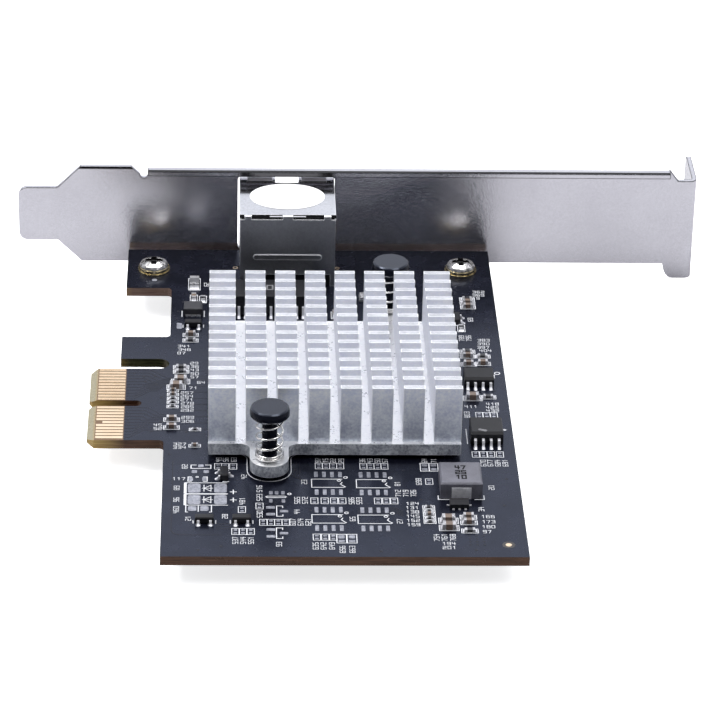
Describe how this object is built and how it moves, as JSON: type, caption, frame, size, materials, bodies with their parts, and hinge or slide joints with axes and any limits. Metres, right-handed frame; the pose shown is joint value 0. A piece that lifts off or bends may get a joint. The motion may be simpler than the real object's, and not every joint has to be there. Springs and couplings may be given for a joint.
{
  "type": "network interface card",
  "caption": "Low circuit board with an edge connector, a folded slot bracket, a shielded modular jack and a pin-fin heat sink on sprung push pins",
  "frame": {"origin": "On the centreline of the contact tongue's key notch, at the contact tips and at mid thickness of the board", "axes": "+X from the contact tips across the card, +Y towards the slot bracket, +Z out of the component face"},
  "size_m": [0.12, 0.1185, 0.0213],
  "materials": {
    "solder_mask": "satin dark mask over glass fibre board",
    "contact_gold": "polished thin gold plate",
    "bracket_nickel": "satin nickel plate on folded sheet",
    "screw_steel": "bright zinc plate",
    "washer_steel": "yellow tinted zinc plate",
    "shield_metal": "satin tinned sheet",
    "housing_plastic": "moulded, fine grain",
    "light_pipe_clear": "clear moulded",
    "label_white": "smooth coated label",
    "sink_aluminium": "bare extruded and cut, fine lengthwise marks",
    "pin_plastic": "moulded, low sheen",
    "spring_steel": "drawn wire",
    "pad_grey": "soft filled pad",
    "laminate_green": "satin laminate",
    "moulding_black": "fine grained moulding compound",
    "tin_plate": "matt tin plate",
    "ferrite_grey": "pressed ferrite, fine grain",
    "capacitor_tan": "fired ceramic",
    "resistor_black": "glazed film on ceramic",
    "fuse_grey": "satin ceramic",
    "lid_metal": "brushed lid"
  },
  "bodies": {
    "root": {"circuit_board": "solder_mask", "edge_contacts": "contact_gold", "mounting_bracket": "bracket_nickel", "bracket_screws": "screw_steel", "flat_washers": "screw_steel", "lock_washers": "washer_steel", "jack_shield": "shield_metal", "jack_housing": "housing_plastic", "jack_contacts": "contact_gold", "jack_light_pipes": "light_pipe_clear", "jack_label": "label_white", "heat_sink": "sink_aluminium", "push_pins": "pin_plastic", "pin_springs": "spring_steel", "thermal_pad": "pad_grey", "controller_substrate": "laminate_green", "controller_mould": "moulding_black", "transformer_body": "moulding_black", "transformer_leads": "tin_plate", "package_bodies": "moulding_black", "package_leads": "tin_plate", "transistor_bodies": "moulding_black", "transistor_leads": "tin_plate", "power_inductor_core": "ferrite_grey", "power_inductor_terminals": "tin_plate", "regulator_body": "moulding_black", "regulator_pads": "tin_plate", "filter_inductor_body": "ferrite_grey", "filter_inductor_terminals": "tin_plate", "capacitor_bodies": "capacitor_tan", "capacitor_ends": "tin_plate", "resistor_bodies": "resistor_black", "resistor_ends": "tin_plate", "input_fuse_body": "fuse_grey", "input_fuse_ends": "tin_plate", "crystal_base": "fuse_grey", "crystal_lid": "lid_metal"}
  },
  "joints": []
}
